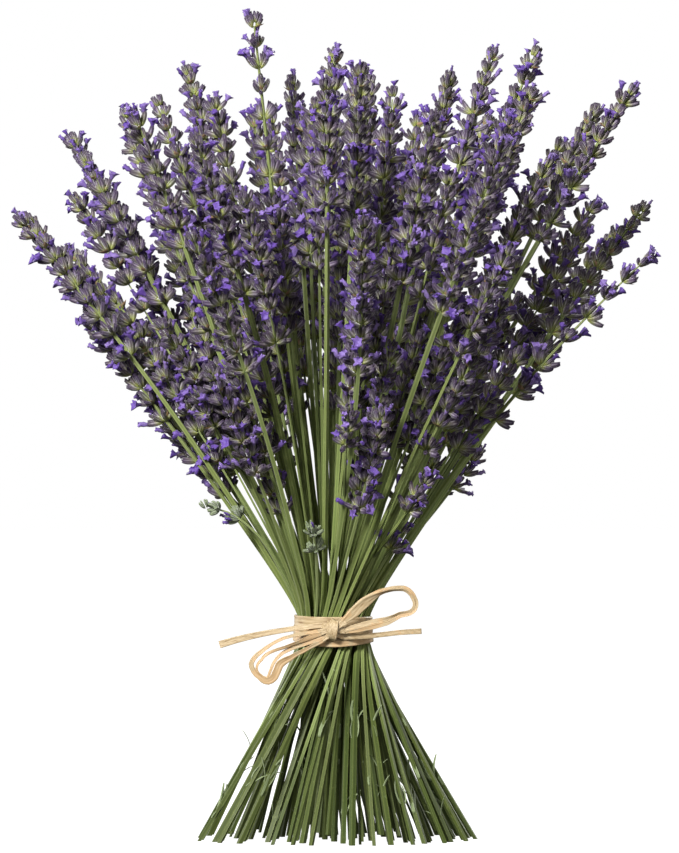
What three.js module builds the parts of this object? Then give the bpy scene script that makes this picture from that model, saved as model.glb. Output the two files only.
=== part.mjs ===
// A bunch of dried lavender, spiral-bound at the waist with raffia, standing on its cut stem ends.
// Millimetres, +Z up. The origin is on the surface, under the middle of the bunch's box.
// Every sprig is one grown piece: a stem and its flower spike. The raffia is a band, a knot,
// two bow loops and two tails.

import * as THREE from 'three';

// ---------------------------------------------------------------- driving dimensions

// the stems, and how they lie at the waist
const STEM_DIAMETER = 2.3;
const NECK_DIAMETER = 1.6; // of the stem just under its flower head
const STEM_SPARE = 1.1; // between neighbouring stems at the waist
const RING_COUNTS = [3, 9, 15, 21]; // sprigs in each ring of the waist, from the middle out
const FIRST_RING = 0.55; // radius of the innermost ring, in stem pitches
const TIE_HEIGHT = 81; // middle of the raffia band above the surface

// how the stems spread above and below the waist
const HEAD_DIAMETER = 15; // widest whorls of a full flower head
const HEAD_SPARE = 2.5; // between the lowest heads side by side
const LOWEST_HEAD = 84; // height above the tie from which heads stand side by side
const WAIST_BLEND = 10; // half height of the bend that the tie puts in every stem
const SPIRAL_UP = 0.4; // sideways lean of the outermost stems above the tie
const SPIRAL_DOWN = 0.52; // and below it
const FOOT_SPREAD = 0.26; // outward lean of the outermost stems below the tie
const OUTER_BEND = 0.12; // extra outward bend of the outermost sprigs under their own weight
const WANDER = 0.3; // how far a sprig strays from its place in the spread, in stem pitches
const NOD_SHARPNESS = 8; // how near its tip a nodding head turns over

// the reach of the tips, measured from the tie
const TIP_REACH = 226; // of the ring that reaches furthest
const RING_SHORTFALL = [10, 0, 4, 25]; // how much less each ring reaches
const REACH_SCATTER = 24; // between the shortest and the longest of a ring
const REACH_LEAN = 5; // longer on the right of the bunch and shorter on the left
const SHORT_SHORTFALL = 70; // how much less the few short sprigs at the edge reach
const SHORT_EVERY = 5; // one outer sprig in so many is a short one

// the flower heads
const HEAD_LENGTH = 66;
const HEAD_LENGTH_SCATTER = 18;
const WHORL_PITCH = 9.5;
const WAIST_OF_WHORL = 0.62; // radius between two whorls, in whorl radii
const TIP_SHARE = 0.42; // radius of the topmost whorl, in head radii

// the cut ends
const SHORT_FOOT = 3; // how far above the surface the few short-cut stems end
const SHORT_FOOT_EVERY = 11;

// the raffia
const RAFFIA_CLEARANCE = 0.4; // between any two pieces that touch
const BAND_HEIGHT = 10.8;
const BAND_THICKNESS = 0.9;
const KNOT_WIDTH = 6.4;
const KNOT_HEIGHT = 8;
const KNOT_DEPTH = 4.4;
const STRIP_WIDTH = 2.4;
const STRIP_THICKNESS = 0.8;

// mesh fineness
const SPRIG_SIDES = 6;
const STEM_STATIONS = [-44, -24, -12, -5, 0, 5, 12, 24, 44]; // rings of a stem, from the tie
const BAND_STEPS = 32;
const KNOT_STEPS = 12;
const STRIP_SIDES = 8;
const STRIP_STEPS = 20;

// ---------------------------------------------------------------- values that follow

const STEM_PITCH = STEM_DIAMETER + STEM_SPARE;
const OUTER_RING = RING_COUNTS.length - 1;
const WAIST_RADIUS = (FIRST_RING + OUTER_RING) * STEM_PITCH;

// Height covered by the bend at the waist, at a height above or below the tie.
const past = (rise) => Math.hypot(rise, WAIST_BLEND) - WAIST_BLEND;

// The spread at which full heads stand side by side sets how fast the stems part above the tie.
const SPIRAL_RATE_UP = SPIRAL_UP / WAIST_RADIUS;
const SPIRAL_RATE_DOWN = SPIRAL_DOWN / WAIST_RADIUS;
const FLARE_DOWN = FOOT_SPREAD / WAIST_RADIUS;
const ROOM_FOR_HEADS = (HEAD_DIAMETER + HEAD_SPARE) / STEM_PITCH;
const OUTWARD_AT_HEADS = Math.sqrt(ROOM_FOR_HEADS ** 2 - (SPIRAL_RATE_UP * LOWEST_HEAD) ** 2);
const FLARE_UP = (OUTWARD_AT_HEADS - 1) / past(LOWEST_HEAD);

// ---------------------------------------------------------------- the spread of the bunch

// How many times wider than at the waist the bunch is at a height above the tie, as an outward
// share and a share round the axis. The same turn and growth for every stem keeps them apart.
function spreadAt(rise, bend, nod, share) {
  const outward = 1 + (rise > 0 ? FLARE_UP : FLARE_DOWN) * past(rise);
  const around = (rise > 0 ? SPIRAL_RATE_UP : SPIRAL_RATE_DOWN) * rise;
  const bent = outward * (1 + bend * Math.max(share, 0) ** 2);
  return new THREE.Vector2(bent + nod * Math.max(share, 0) ** NOD_SHARPNESS, around);
}

// The middle line of one sprig, from its cut end to its tip.
class SprigLine extends THREE.Curve {
  constructor({ place, stray, reach, foot = 0, bend = 0, nod = 0 }) {
    super();
    this.place = place;
    this.stray = stray;
    this.foot = foot;
    this.bend = bend;
    this.nod = nod;
    this.tipRise = this.riseForReach(reach);
  }

  pointAtRise(rise, tipRise) {
    const { x: outward, y: around } = spreadAt(rise, this.bend, this.nod, rise / tipRise);
    const free = 1 - Math.min(1, ROOM_FOR_HEADS / Math.hypot(outward, around));
    const x = this.place.x + this.stray.x * free;
    const y = this.place.y + this.stray.y * free;
    return new THREE.Vector3(x * outward - y * around, y * outward + x * around, TIE_HEIGHT + rise);
  }

  // The height above the tie at which the tip is as far from the tie as its reach.
  riseForReach(reach) {
    const tie = new THREE.Vector3(0, 0, TIE_HEIGHT);
    let low = 0;
    let high = reach;
    for (let step = 0; step < 40; step += 1) {
      const middle = (low + high) / 2;
      if (this.pointAtRise(middle, middle).distanceTo(tie) < reach) low = middle;
      else high = middle;
    }
    return low;
  }

  getPoint(t) {
    const lowest = this.foot - TIE_HEIGHT;
    return this.pointAtRise(lowest + t * (this.tipRise - lowest), this.tipRise);
  }

  // How far along the line from its cut end it reaches a height above the tie.
  distanceAtRise(rise) {
    const lowest = this.foot - TIE_HEIGHT;
    const lengths = this.getLengths();
    return lengths[Math.round(((rise - lowest) / (this.tipRise - lowest)) * (lengths.length - 1))];
  }
}

// ---------------------------------------------------------------- one sprig

// Radius against distance from the cut end, starting and ending on the axis. The stem's rings
// are close together where the tie bends it.
function sprigProfile(line, head) {
  const length = line.getLength();
  const neck = length - head.length;
  const tie = line.distanceAtRise(0);
  const stations = STEM_STATIONS.map((rise) => tie + rise).filter((at) => at > 0 && at < neck - 4);
  const profile = [new THREE.Vector2(0, 0)];
  for (const at of [0, ...stations, neck]) {
    const thinning = Math.max(0, (at - tie) / (neck - tie));
    const diameter = STEM_DIAMETER + (NECK_DIAMETER - STEM_DIAMETER) * thinning;
    profile.push(new THREE.Vector2(diameter / 2, at));
  }
  const whorls = Math.max(2, Math.round(head.length / head.pitch));
  const pitch = head.length / whorls;
  for (let whorl = 0; whorl < whorls; whorl += 1) {
    const share = whorl / (whorls - 1);
    const taper = share < 0.3 ? 1 : 1 - (1 - TIP_SHARE) * ((share - 0.3) / 0.7);
    const radius = (head.diameter / 2) * taper;
    profile.push(new THREE.Vector2(radius, neck + pitch * (whorl + 0.45)));
    if (whorl < whorls - 1) {
      profile.push(new THREE.Vector2(radius * head.waist, neck + pitch * (whorl + 1)));
    }
  }
  profile.push(new THREE.Vector2(0, length));
  return profile;
}

// A round body turned from the profile and bent along the sprig's line. Its cut end is level.
function bentAlong(line, profile) {
  const geometry = new THREE.LatheGeometry(profile, SPRIG_SIDES);
  const length = line.getLength();
  const position = geometry.attributes.position;
  const side = new THREE.Vector3();
  const front = new THREE.Vector3();
  for (let i = 0; i < position.count; i += 1) {
    const share = Math.min(1, Math.max(0, position.getY(i) / length));
    const middle = line.getPointAt(share);
    const along = line.getTangentAt(share);
    front.set(0, 1, 0).cross(along).normalize();
    side.crossVectors(along, front);
    const vertex = middle.clone();
    vertex.addScaledVector(side, position.getX(i));
    vertex.addScaledVector(front, position.getZ(i));
    if (share === 0) vertex.addScaledVector(along, (middle.z - vertex.z) / along.z);
    position.setXYZ(i, vertex.x, vertex.y, vertex.z);
  }
  return geometry;
}

const sprigGreen = new THREE.MeshStandardMaterial({ color: 0x6f7059, roughness: 0.85, metalness: 0 });
const youngGreen = new THREE.MeshStandardMaterial({ color: 0x7d8f5c, roughness: 0.85, metalness: 0 });

function makeSprig(name, sprig, head, material) {
  const line = new SprigLine(sprig);
  line.arcLengthDivisions = 400;
  const profile = sprigProfile(line, head);
  const mesh = new THREE.Mesh(bentAlong(line, profile), material);
  mesh.name = name;
  return mesh;
}

// ---------------------------------------------------------------- the raffia tie

const raffia = new THREE.MeshStandardMaterial({ color: 0xe6cba0, roughness: 0.8, metalness: 0 });

const bandInside = (rise) => {
  const { x: outward, y: around } = spreadAt(rise, 0, 0, 0);
  return WAIST_RADIUS * Math.hypot(outward, around) + STEM_DIAMETER / 2 + RAFFIA_CLEARANCE;
};

function makeBand() {
  const shares = [-1, -0.5, 0, 0.5, 1];
  const rises = shares.map((share) => (share * BAND_HEIGHT) / 2);
  const outer = rises.map((rise) => new THREE.Vector2(bandInside(rise) + BAND_THICKNESS, rise));
  const inner = rises.map((rise) => new THREE.Vector2(bandInside(rise), rise)).reverse();
  const geometry = new THREE.LatheGeometry([...outer, ...inner, outer[0]], BAND_STEPS);
  geometry.rotateX(Math.PI / 2);
  const band = new THREE.Mesh(geometry, raffia);
  band.name = 'raffia_band';
  band.position.z = TIE_HEIGHT;
  return band;
}

const KNOT_MIDDLE = new THREE.Vector3(
  0,
  -(bandInside(0) + BAND_THICKNESS + RAFFIA_CLEARANCE + KNOT_DEPTH / 2),
  TIE_HEIGHT,
);

function makeKnot() {
  const geometry = new THREE.SphereGeometry(0.5, KNOT_STEPS, KNOT_STEPS / 2);
  geometry.scale(KNOT_WIDTH, KNOT_DEPTH, KNOT_HEIGHT);
  const knot = new THREE.Mesh(geometry, raffia);
  knot.name = 'raffia_knot';
  knot.position.copy(KNOT_MIDDLE);
  return knot;
}

// Where a strip meets the knot's side, so far in front of and above the knot's middle: the
// strip's edge that is nearest the middle just clears the knot.
function knotSide(side, front, up) {
  const edge = Math.max(0, Math.abs(up) - STRIP_WIDTH / 2);
  const face = Math.max(0, Math.abs(front) - STRIP_THICKNESS / 2);
  const share = 1 - ((2 * face) / KNOT_DEPTH) ** 2 - ((2 * edge) / KNOT_HEIGHT) ** 2;
  return [side * ((KNOT_WIDTH / 2) * Math.sqrt(share) + RAFFIA_CLEARANCE), front, up];
}

// Routes of the free raffia from the knot's middle: to the right, to the front and up.
const STRIPS = {
  bow_loop_right: [
    knotSide(1, 0.8, 2.4), [8.2, 1.4, 7], [13, 1.6, 11.4], [18.2, 1.5, 14.8], [24, 1.2, 16.2],
    [29, 0.9, 15.6], [31.8, 0.7, 13], [32.2, 0.6, 9.8], [30.4, 0.5, 7], [25, 0.4, 4.8],
    [18, 0.3, 3], [11, 0.2, 1.2], knotSide(1, 0.1, -0.4),
  ],
  bow_loop_left: [
    knotSide(-1, 0.7, -0.5), [-10, 1.3, -2], [-17, 1.6, -4], [-23.5, 1.6, -6.4], [-28.6, 1.4, -9.6],
    [-30.2, 1.2, -13.4], [-28.4, 1.1, -17.4], [-25.4, 1, -18.6], [-23.2, 0.9, -16], [-20.6, 0.8, -12.2],
    [-16, 0.7, -8.8], [-10.4, 0.6, -6.2], knotSide(-1, 0.4, -3.2),
  ],
  tail_right: [
    knotSide(1, -1.4, -2.5), [11, -1.9, -2.4], [18, -2.2, -1.8], [26, -2.2, -0.9], [34, -2, -0.4],
  ],
  tail_left: [
    knotSide(-1, -1.2, 2), [-12, -1.9, 1], [-20, -2, -0.2], [-28, -1.9, -1.6], [-36, -1.7, -3.4],
    [-43.8, -1.5, -5.6],
  ],
};

function makeStrip(name, route) {
  const points = route.map(([right, front, up]) => (
    new THREE.Vector3(right, -front, up).add(KNOT_MIDDLE)
  ));
  const section = new THREE.Shape();
  section.absellipse(0, 0, STRIP_THICKNESS / 2, STRIP_WIDTH / 2, 0, 2 * Math.PI);
  const geometry = new THREE.ExtrudeGeometry(section, {
    steps: STRIP_STEPS,
    curveSegments: STRIP_SIDES / 2,
    extrudePath: new THREE.CatmullRomCurve3(points),
  });
  const strip = new THREE.Mesh(geometry, raffia);
  strip.name = name;
  return strip;
}

// ---------------------------------------------------------------- the bunch

// The fractional parts of a golden-ratio walk fill 0 to 1 evenly, so no two neighbours match.
const evenly = (index, start) => (start + index * 0.618034) % 1;
const onCircle = (angle, radius) => (
  new THREE.Vector2(Math.cos(angle), Math.sin(angle)).multiplyScalar(radius)
);

const FULL_HEAD = { diameter: HEAD_DIAMETER, pitch: WHORL_PITCH, waist: WAIST_OF_WHORL };

// The sprigs that stand out from the rest, by ring and place in the ring.
const STANDOUTS = [
  {
    name: 'tall_sprig',
    at: [1, 5],
    sprig: { reach: TIP_REACH + 18 },
    head: { ...FULL_HEAD, length: 76 },
    material: sprigGreen,
  },
  {
    name: 'tall_sprig_right',
    at: [2, 12],
    sprig: { reach: TIP_REACH + 16, bend: 0.16 },
    head: { ...FULL_HEAD, length: 70 },
    material: sprigGreen,
  },
  {
    name: 'lone_sprig_left',
    at: [OUTER_RING, 9],
    sprig: { reach: TIP_REACH - 24, bend: 0.09 },
    head: { ...FULL_HEAD, length: 70 },
    material: sprigGreen,
  },
  {
    name: 'young_sprig_left',
    at: [OUTER_RING, 10],
    sprig: { reach: 75, nod: 1.5 },
    head: { length: 19, diameter: 4.6, pitch: 5, waist: WAIST_OF_WHORL },
    material: youngGreen,
  },
  {
    name: 'young_sprig_front',
    at: [OUTER_RING, 13],
    sprig: { reach: 56, nod: 0.3 },
    head: { length: 15, diameter: 4.6, pitch: 5, waist: WAIST_OF_WHORL },
    material: youngGreen,
  },
  {
    name: 'small_sprig_right',
    at: [OUTER_RING, 17],
    sprig: { reach: 53, nod: 0.2 },
    head: { length: 12, diameter: 6.5, pitch: 5, waist: WAIST_OF_WHORL },
    material: sprigGreen,
  },
  {
    name: 'lone_sprig_right',
    at: [OUTER_RING, 18],
    sprig: { reach: TIP_REACH - 34, bend: 0.27 },
    head: { length: 89, diameter: 11, pitch: 14, waist: 0.18 },
    material: sprigGreen,
  },
];

// An ordinary sprig of the crown: how far its tip reaches follows its ring and its side.
function crownSprig(ring, index, count, place) {
  const short = ring === OUTER_RING && index % SHORT_EVERY === 1;
  const reach = TIP_REACH - RING_SHORTFALL[ring];
  const { x: outward, y: around } = spreadAt(reach, 0, 0, 0);
  const tipAngle = place.angle() + Math.atan2(around, outward);
  const scatter = REACH_SCATTER * (evenly(count, 0.37) - 0.5);
  return {
    reach: (short ? TIP_REACH - SHORT_SHORTFALL : reach) + scatter + REACH_LEAN * Math.cos(tipAngle),
    foot: count % SHORT_FOOT_EVERY === 5 ? SHORT_FOOT : 0,
    bend: (OUTER_BEND * ring) / OUTER_RING,
  };
}

const bunch = new THREE.Group();

let count = 0;
let ordinary = 0;
RING_COUNTS.forEach((places, ring) => {
  for (let index = 0; index < places; index += 1) {
    const angle = (2 * Math.PI * (index + evenly(ring, 0.5))) / places;
    const place = onCircle(angle, (FIRST_RING + ring) * STEM_PITCH);
    const stray = onCircle(2 * Math.PI * evenly(count, 0.1), WANDER * STEM_PITCH);
    const standout = STANDOUTS.find(({ at }) => at[0] === ring && at[1] === index);
    count += 1;
    if (standout) {
      const { name, sprig, head, material } = standout;
      bunch.add(makeSprig(name, { place, stray, ...sprig }, head, material));
    } else {
      ordinary += 1;
      const name = `sprig_${String(ordinary).padStart(2, '0')}`;
      const sprig = { place, stray, ...crownSprig(ring, index, count, place) };
      const length = HEAD_LENGTH + HEAD_LENGTH_SCATTER * (evenly(count, 0.73) - 0.5);
      bunch.add(makeSprig(name, sprig, { ...FULL_HEAD, length }, sprigGreen));
    }
  }
});

bunch.add(makeBand(), makeKnot());
for (const [name, route] of Object.entries(STRIPS)) bunch.add(makeStrip(name, route));

// The origin goes under the middle of the bunch's box.
const middle = new THREE.Box3().setFromObject(bunch, true).getCenter(new THREE.Vector3());
bunch.position.set(-middle.x, -middle.y, 0);

export default bunch;
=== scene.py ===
import math

import bpy
import numpy as np
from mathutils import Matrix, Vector
from mathutils.geometry import delaunay_2d_cdt


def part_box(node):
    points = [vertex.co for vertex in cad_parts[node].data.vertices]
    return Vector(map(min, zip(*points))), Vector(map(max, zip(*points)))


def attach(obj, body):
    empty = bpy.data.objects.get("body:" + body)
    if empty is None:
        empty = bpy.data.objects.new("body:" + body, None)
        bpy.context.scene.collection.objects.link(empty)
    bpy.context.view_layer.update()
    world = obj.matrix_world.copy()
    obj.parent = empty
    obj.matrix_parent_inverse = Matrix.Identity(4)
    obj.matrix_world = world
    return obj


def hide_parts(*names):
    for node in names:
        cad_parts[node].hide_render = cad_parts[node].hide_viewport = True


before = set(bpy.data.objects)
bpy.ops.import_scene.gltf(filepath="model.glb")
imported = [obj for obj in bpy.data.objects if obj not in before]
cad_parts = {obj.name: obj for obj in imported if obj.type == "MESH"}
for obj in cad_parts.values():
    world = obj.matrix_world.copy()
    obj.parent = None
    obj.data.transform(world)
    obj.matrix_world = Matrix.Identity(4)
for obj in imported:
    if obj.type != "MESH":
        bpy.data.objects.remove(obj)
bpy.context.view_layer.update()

# -------------------- the camera
# A very long lens, far off and nearly level, square on to the knot. From there the cut ends of the
# stems line up.

CAMERA_DISTANCE = 3.6
CAMERA_TILT = math.radians(0.5)
CAMERA_AIM = Vector((0.0023, 0.0, 0.1592))
CAMERA_LENS = 393.0


def put_in_scene(name, data):
    made = bpy.data.objects.new(name, data)
    bpy.context.collection.objects.link(made)
    return made


camera_data = bpy.data.cameras.new("camera")
camera_data.lens = CAMERA_LENS
camera = put_in_scene("camera", camera_data)
towards_camera = Vector((0.0, -math.cos(CAMERA_TILT), math.sin(CAMERA_TILT)))
camera.location = CAMERA_AIM + towards_camera * CAMERA_DISTANCE
camera.rotation_euler = towards_camera.to_track_quat("Z", "Y").to_euler()
bpy.context.scene.camera = camera
bpy.context.scene.view_settings.view_transform = "Standard"

# -------------------- the raffia bow
# Raffia is a strip peeled from a palm leaf: flat, papery and ribbed along its length. The bow is
# the free part of one strand, pulled through the knot: two loops and two cut tails.

MM = 0.001
knot_low, knot_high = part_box("raffia_knot")
KNOT = (Vector(knot_low) + Vector(knot_high)) / 2


def smooth_line(points, count):
    """Evenly spaced points on the smooth curve through the given ones."""
    points = np.asarray(points, float)
    steps = np.linalg.norm(np.diff(points, axis=0), axis=1)
    at = np.concatenate([[0], np.cumsum(steps)])
    slope = np.gradient(points, at, axis=0, edge_order=1)
    fine = np.linspace(0, at[-1], 30 * len(points))
    i = np.clip(np.searchsorted(at, fine) - 1, 0, len(at) - 2)
    span = (at[i + 1] - at[i])[:, None]
    t = (fine - at[i])[:, None] / span
    curve = (
        (2 * t**3 - 3 * t**2 + 1) * points[i]
        + (t**3 - 2 * t**2 + t) * span * slope[i]
        + (3 * t**2 - 2 * t**3) * points[i + 1]
        + (t**3 - t**2) * span * slope[i + 1]
    )
    along = np.concatenate([[0], np.cumsum(np.linalg.norm(np.diff(curve, axis=0), axis=1))])
    even = np.linspace(0, along[-1], count)
    return np.stack([np.interp(even, along, curve[:, k]) for k in range(3)], 1), along[-1]


def unit(v):
    return v / np.maximum(np.linalg.norm(v, axis=-1, keepdims=True), 1e-12)


def ring_faces(rows, sides, closed=False):
    """The faces between rings of vertices. Both ends are capped unless the last ring meets the first."""
    faces = []
    for row in range(rows if closed else rows - 1):
        here, there = row * sides, (row + 1) % rows * sides
        for k in range(sides):
            n = (k + 1) % sides
            faces.append((here + k, here + n, there + n, there + k))
    if not closed:
        faces.append(tuple(range(sides))[::-1])
        faces.append(tuple((rows - 1) * sides + k for k in range(sides)))
    return faces


def link_mesh(name, vertices, faces, materials, grain, uv, face_material=None, smooth=True):
    """A mesh object from arrays. grain is the pattern that its materials read: how far along,
    which tone and how far across, with the whole piece's own tone last."""
    mesh = bpy.data.meshes.new(name)
    mesh.from_pydata(vertices.tolist(), [], faces)
    for material in materials:
        mesh.materials.append(material)
    if face_material is not None:
        mesh.polygons.foreach_set("material_index", np.asarray(face_material, np.int32))
    smooth = np.broadcast_to(smooth, len(mesh.polygons))
    mesh.polygons.foreach_set("use_smooth", smooth.astype(np.uint8))
    colours = mesh.attributes.new("grain", "FLOAT_COLOR", "POINT")
    colours.data.foreach_set("color", np.asarray(grain, np.float32).ravel())
    corner = np.empty(len(mesh.loops), np.int32)
    mesh.loops.foreach_get("vertex_index", corner)
    layer = mesh.uv_layers.new(name="OFBake")
    layer.data.foreach_set("uv", np.asarray(uv, np.float32)[corner].ravel())
    mesh.update()
    return put_in_scene(name, mesh)


class Shader:
    """A material's nodes, made and joined one at a time."""

    def __init__(self, name):
        self.material = bpy.data.materials.new(name)
        self.material.use_nodes = True
        self.tree = self.material.node_tree
        self.surface = self.tree.nodes["Principled BSDF"]

    def put(self, socket, value):
        if isinstance(value, bpy.types.NodeSocket):
            self.tree.links.new(value, socket)
        else:
            socket.default_value = value

    def node(self, kind, settings=None, **inputs):
        made = self.tree.nodes.new("ShaderNode" + kind)
        for key, value in (settings or {}).items():
            setattr(made, key, value)
        for key, value in inputs.items():
            self.put(made.inputs[key.replace("_", " ")], value)
        return made

    def grain(self):
        read = self.node("Attribute", {"attribute_name": "grain"})
        parts = self.node("SeparateColor", Color=read.outputs["Color"])
        return parts.outputs[0], parts.outputs[1], parts.outputs[2], read.outputs["Alpha"]

    def noise(self, scale, detail=4.0, stretch=(1, 1, 1)):
        place = self.node("TexCoord").outputs["Object"]
        spread = self.node("Mapping", Vector=place, Scale=stretch)
        made = self.node("TexNoise", Vector=spread.outputs[0], Scale=scale, Detail=detail)
        return made.outputs["Fac"]

    def ramp(self, value, stops):
        made = self.node("ValToRGB", Fac=value)
        while len(made.color_ramp.elements) < len(stops):
            made.color_ramp.elements.new(0.5)
        for element, (at, colour) in zip(made.color_ramp.elements, stops):
            element.position = at
            element.color = (*colour, 1.0)
        return made.outputs[0]

    def mix(self, share, first, second, blend="MIX"):
        made = self.tree.nodes.new("ShaderNodeMix")
        made.data_type = "RGBA"
        made.blend_type = blend
        self.put(made.inputs[0], share)
        for socket, value in ((made.inputs[6], first), (made.inputs[7], second)):
            self.put(socket, value if isinstance(value, bpy.types.NodeSocket) else (*value, 1.0))
        return made.outputs[2]

    def maths(self, operation, first, second=0.0, clamp=False):
        made = self.tree.nodes.new("ShaderNodeMath")
        made.operation = operation
        made.use_clamp = clamp
        self.put(made.inputs[0], first)
        self.put(made.inputs[1], second)
        return made.outputs[0]

    def spread(self, value, low, high):
        """A value from 0 to 1 spread from low to high."""
        made = self.node("MapRange", Value=value)
        made.inputs["To Min"].default_value = low
        made.inputs["To Max"].default_value = high
        return made.outputs[0]

    def bump(self, height, strength, distance):
        made = self.node("Bump", Height=height, Strength=strength, Distance=distance)
        self.put(self.surface.inputs["Normal"], made.outputs[0])

    def finish(self, colour, roughness, **numbers):
        """The finished material. The numbers are set on the sockets of those names."""
        settings = {"Base Color": colour, "Roughness": roughness}
        settings.update({key.replace("_", " "): value for key, value in numbers.items()})
        for key, value in settings.items():
            self.put(self.surface.inputs[key], value)
        return self.material


def make_raffia():
    """Pale straw, streaked along the fibre, with orange-brown bruises and a waxy side."""
    raffia = Shader("raffia")
    along, tone, across, _ = raffia.grain()
    fibre = raffia.node("CombineXYZ", X=along, Y=raffia.maths("MULTIPLY", across, 0.5), Z=tone)
    streak = raffia.node("TexNoise", Vector=fibre.outputs[0], Scale=14.0, Detail=5.0).outputs["Fac"]
    patch = raffia.noise(160.0, 3.0)
    straw = raffia.ramp(streak, [
        (0.3, (0.24, 0.14, 0.058)), (0.41, (0.4, 0.29, 0.155)),
        (0.6, (0.52, 0.4, 0.235)), (0.75, (0.63, 0.51, 0.33)),
    ])
    bruised = raffia.maths("GREATER_THAN", raffia.maths("MULTIPLY", patch, tone), 0.46)
    soft = raffia.maths("MULTIPLY", bruised, 0.35)
    colour = raffia.mix(soft, straw, (0.62, 0.36, 0.16))
    raffia.bump(streak, 0.5, 0.0002)
    return raffia.finish(colour, raffia.spread(streak, 0.42, 0.68), Specular_IOR_Level=0.4, Sheen_Weight=0.05)


raffia_material = make_raffia()

RIBBON_COLUMNS = 13
FIBRE_DEPTH = 0.09 * MM


def ribbon(points, widths, facing, thickness=0.32 * MM, curl=0.12, seed=0, closed=False):
    """Arrays of one flat strand. facing is the way its broad side looks at each point, widths its
    width at each point. Its face is ribbed with fibres and a little cupped."""
    count = len(points)
    draw = np.random.default_rng(seed)
    if closed:
        tangent = unit(np.roll(points, -1, 0) - np.roll(points, 1, 0))
    else:
        tangent = unit(np.gradient(points, axis=0))
    broad = unit(np.cross(tangent, facing))
    normal = unit(np.cross(broad, tangent))
    share = np.linspace(-1, 1, RIBBON_COLUMNS)
    fibres = draw.uniform(-1, 1, RIBBON_COLUMNS) * FIBRE_DEPTH
    edge = np.sqrt(np.maximum(1 - share**2, 0.0)) ** 0.5
    rings = []
    for side in (1, -1):
        height = side * thickness / 2 * (0.15 + 0.85 * edge) + fibres
        order = slice(None) if side == 1 else slice(None, None, -1)
        offset = share[None, :, None] * broad[:, None] * (widths / 2)[:, None, None]
        cup = (share**2)[None, :] * curl * widths[:, None] / 2
        lift = (height[None, :] + cup)[..., None] * normal[:, None]
        rings.append((points[:, None] + offset + lift)[:, order])
    around = np.concatenate(rings, 1)
    sides = around.shape[1]
    vertices = around.reshape(-1, 3)
    across = np.concatenate([(share + 1) / 2, (share[::-1] + 1) / 2])
    along = np.repeat(np.linspace(0, 1, count), sides)
    tone = np.full(len(along), draw.uniform(0.5, 1))
    grain = np.stack([along, tone, np.tile(across, count), np.ones(len(along))], 1)
    return vertices, ring_faces(count, sides, closed), grain


def raffia_piece(name, strands):
    """One piece from several strands, each strip with its own band of the pattern."""
    vertices, faces, grain, uv = [], [], [], []
    start = 0
    for i, (v, f, g) in enumerate(strands):
        faces += [tuple(k + start for k in face) for face in f]
        start += len(v)
        vertices.append(v)
        grain.append(g)
        uv.append(np.stack([0.01 + 0.98 * g[:, 0], (i + 0.04 + 0.92 * g[:, 2]) / len(strands)], 1))
    piece = link_mesh(
        name, np.concatenate(vertices), faces, [raffia_material], np.concatenate(grain), np.concatenate(uv)
    )
    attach(piece, "root")
    return piece


def from_knot(route):
    """A route given in millimetres to the right of, in front of and above the knot's middle."""
    return np.array([(KNOT.x + x * MM, KNOT.y - y * MM, KNOT.z + z * MM) for x, y, z in route])


TO_VIEWER = np.array([0.0, -1.0, 0.0])

BOW_LOOP_RIGHT = from_knot([
    (2.9, 0.8, 2.4), (8.2, 1.4, 7), (13, 1.6, 11.4), (18.2, 1.5, 14.8), (24, 1.2, 16.2),
    (29, 0.9, 15.6), (31.8, 0.7, 13), (32.2, 0.6, 9.8), (30.4, 0.5, 7), (25, 0.4, 4.8),
    (18, 0.3, 3), (11, 0.2, 1.2), (3.6, 0.1, -0.4),
])
BOW_LOOP_LEFT = from_knot([
    (-3.6, 0.7, -0.5), (-10, 1.3, -2), (-17, 1.6, -4), (-23.5, 1.6, -6.4), (-28.6, 1.4, -9.6),
    (-30.2, 1.2, -13.4), (-28.4, 1.1, -17.4), (-25.4, 1, -18.6), (-23.2, 0.9, -16), (-20.6, 0.8, -12.2),
    (-16, 0.7, -8.8), (-10.4, 0.6, -6.2), (-3.2, 0.4, -3.2),
])
TAIL_RIGHT = from_knot([
    (3, -1.4, -2.5), (11, -1.9, -2.4), (18, -2.2, -1.8), (26, -2.2, -0.9), (34, -2, -0.4),
])
TAIL_LEFT = from_knot([
    (-3.2, -1.2, 2), (-12, -1.9, 1), (-20, -2, -0.2), (-28, -1.9, -1.6), (-36, -1.7, -3.4),
    (-43.8, -1.5, -5.6),
])


def turned(facing, tangent, angle):
    """The facing direction rolled round the strand by an angle at each point."""
    side = np.cross(tangent, facing)
    return facing * np.cos(angle)[:, None] + side * np.sin(angle)[:, None]


def bow_strand(route, width_keys, roll_keys, count=90, offset=0.0, seed=1):
    """A strand along a route. The keys give its width and its roll at even steps from knot to end."""
    line, _ = smooth_line(route, count)
    tangent = unit(np.gradient(line, axis=0))
    share = np.linspace(0, 1, count)
    widths = np.interp(share, np.linspace(0, 1, len(width_keys)), width_keys) * MM
    roll = np.interp(share, np.linspace(0, 1, len(roll_keys)), roll_keys)
    if np.ndim(offset) or offset:
        keys = np.interp(share, np.linspace(0, 1, len(offset)), offset) * MM
        line = line + unit(np.cross(tangent, TO_VIEWER)) * keys[:, None]
    facing = turned(np.tile(TO_VIEWER, (count, 1)), tangent, roll)
    return ribbon(line, widths, facing, seed=seed)


def free_strand(node):
    """Hides the solid of a free part of the strand; the ribbon made for it stands in its place."""
    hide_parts(node)


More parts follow.
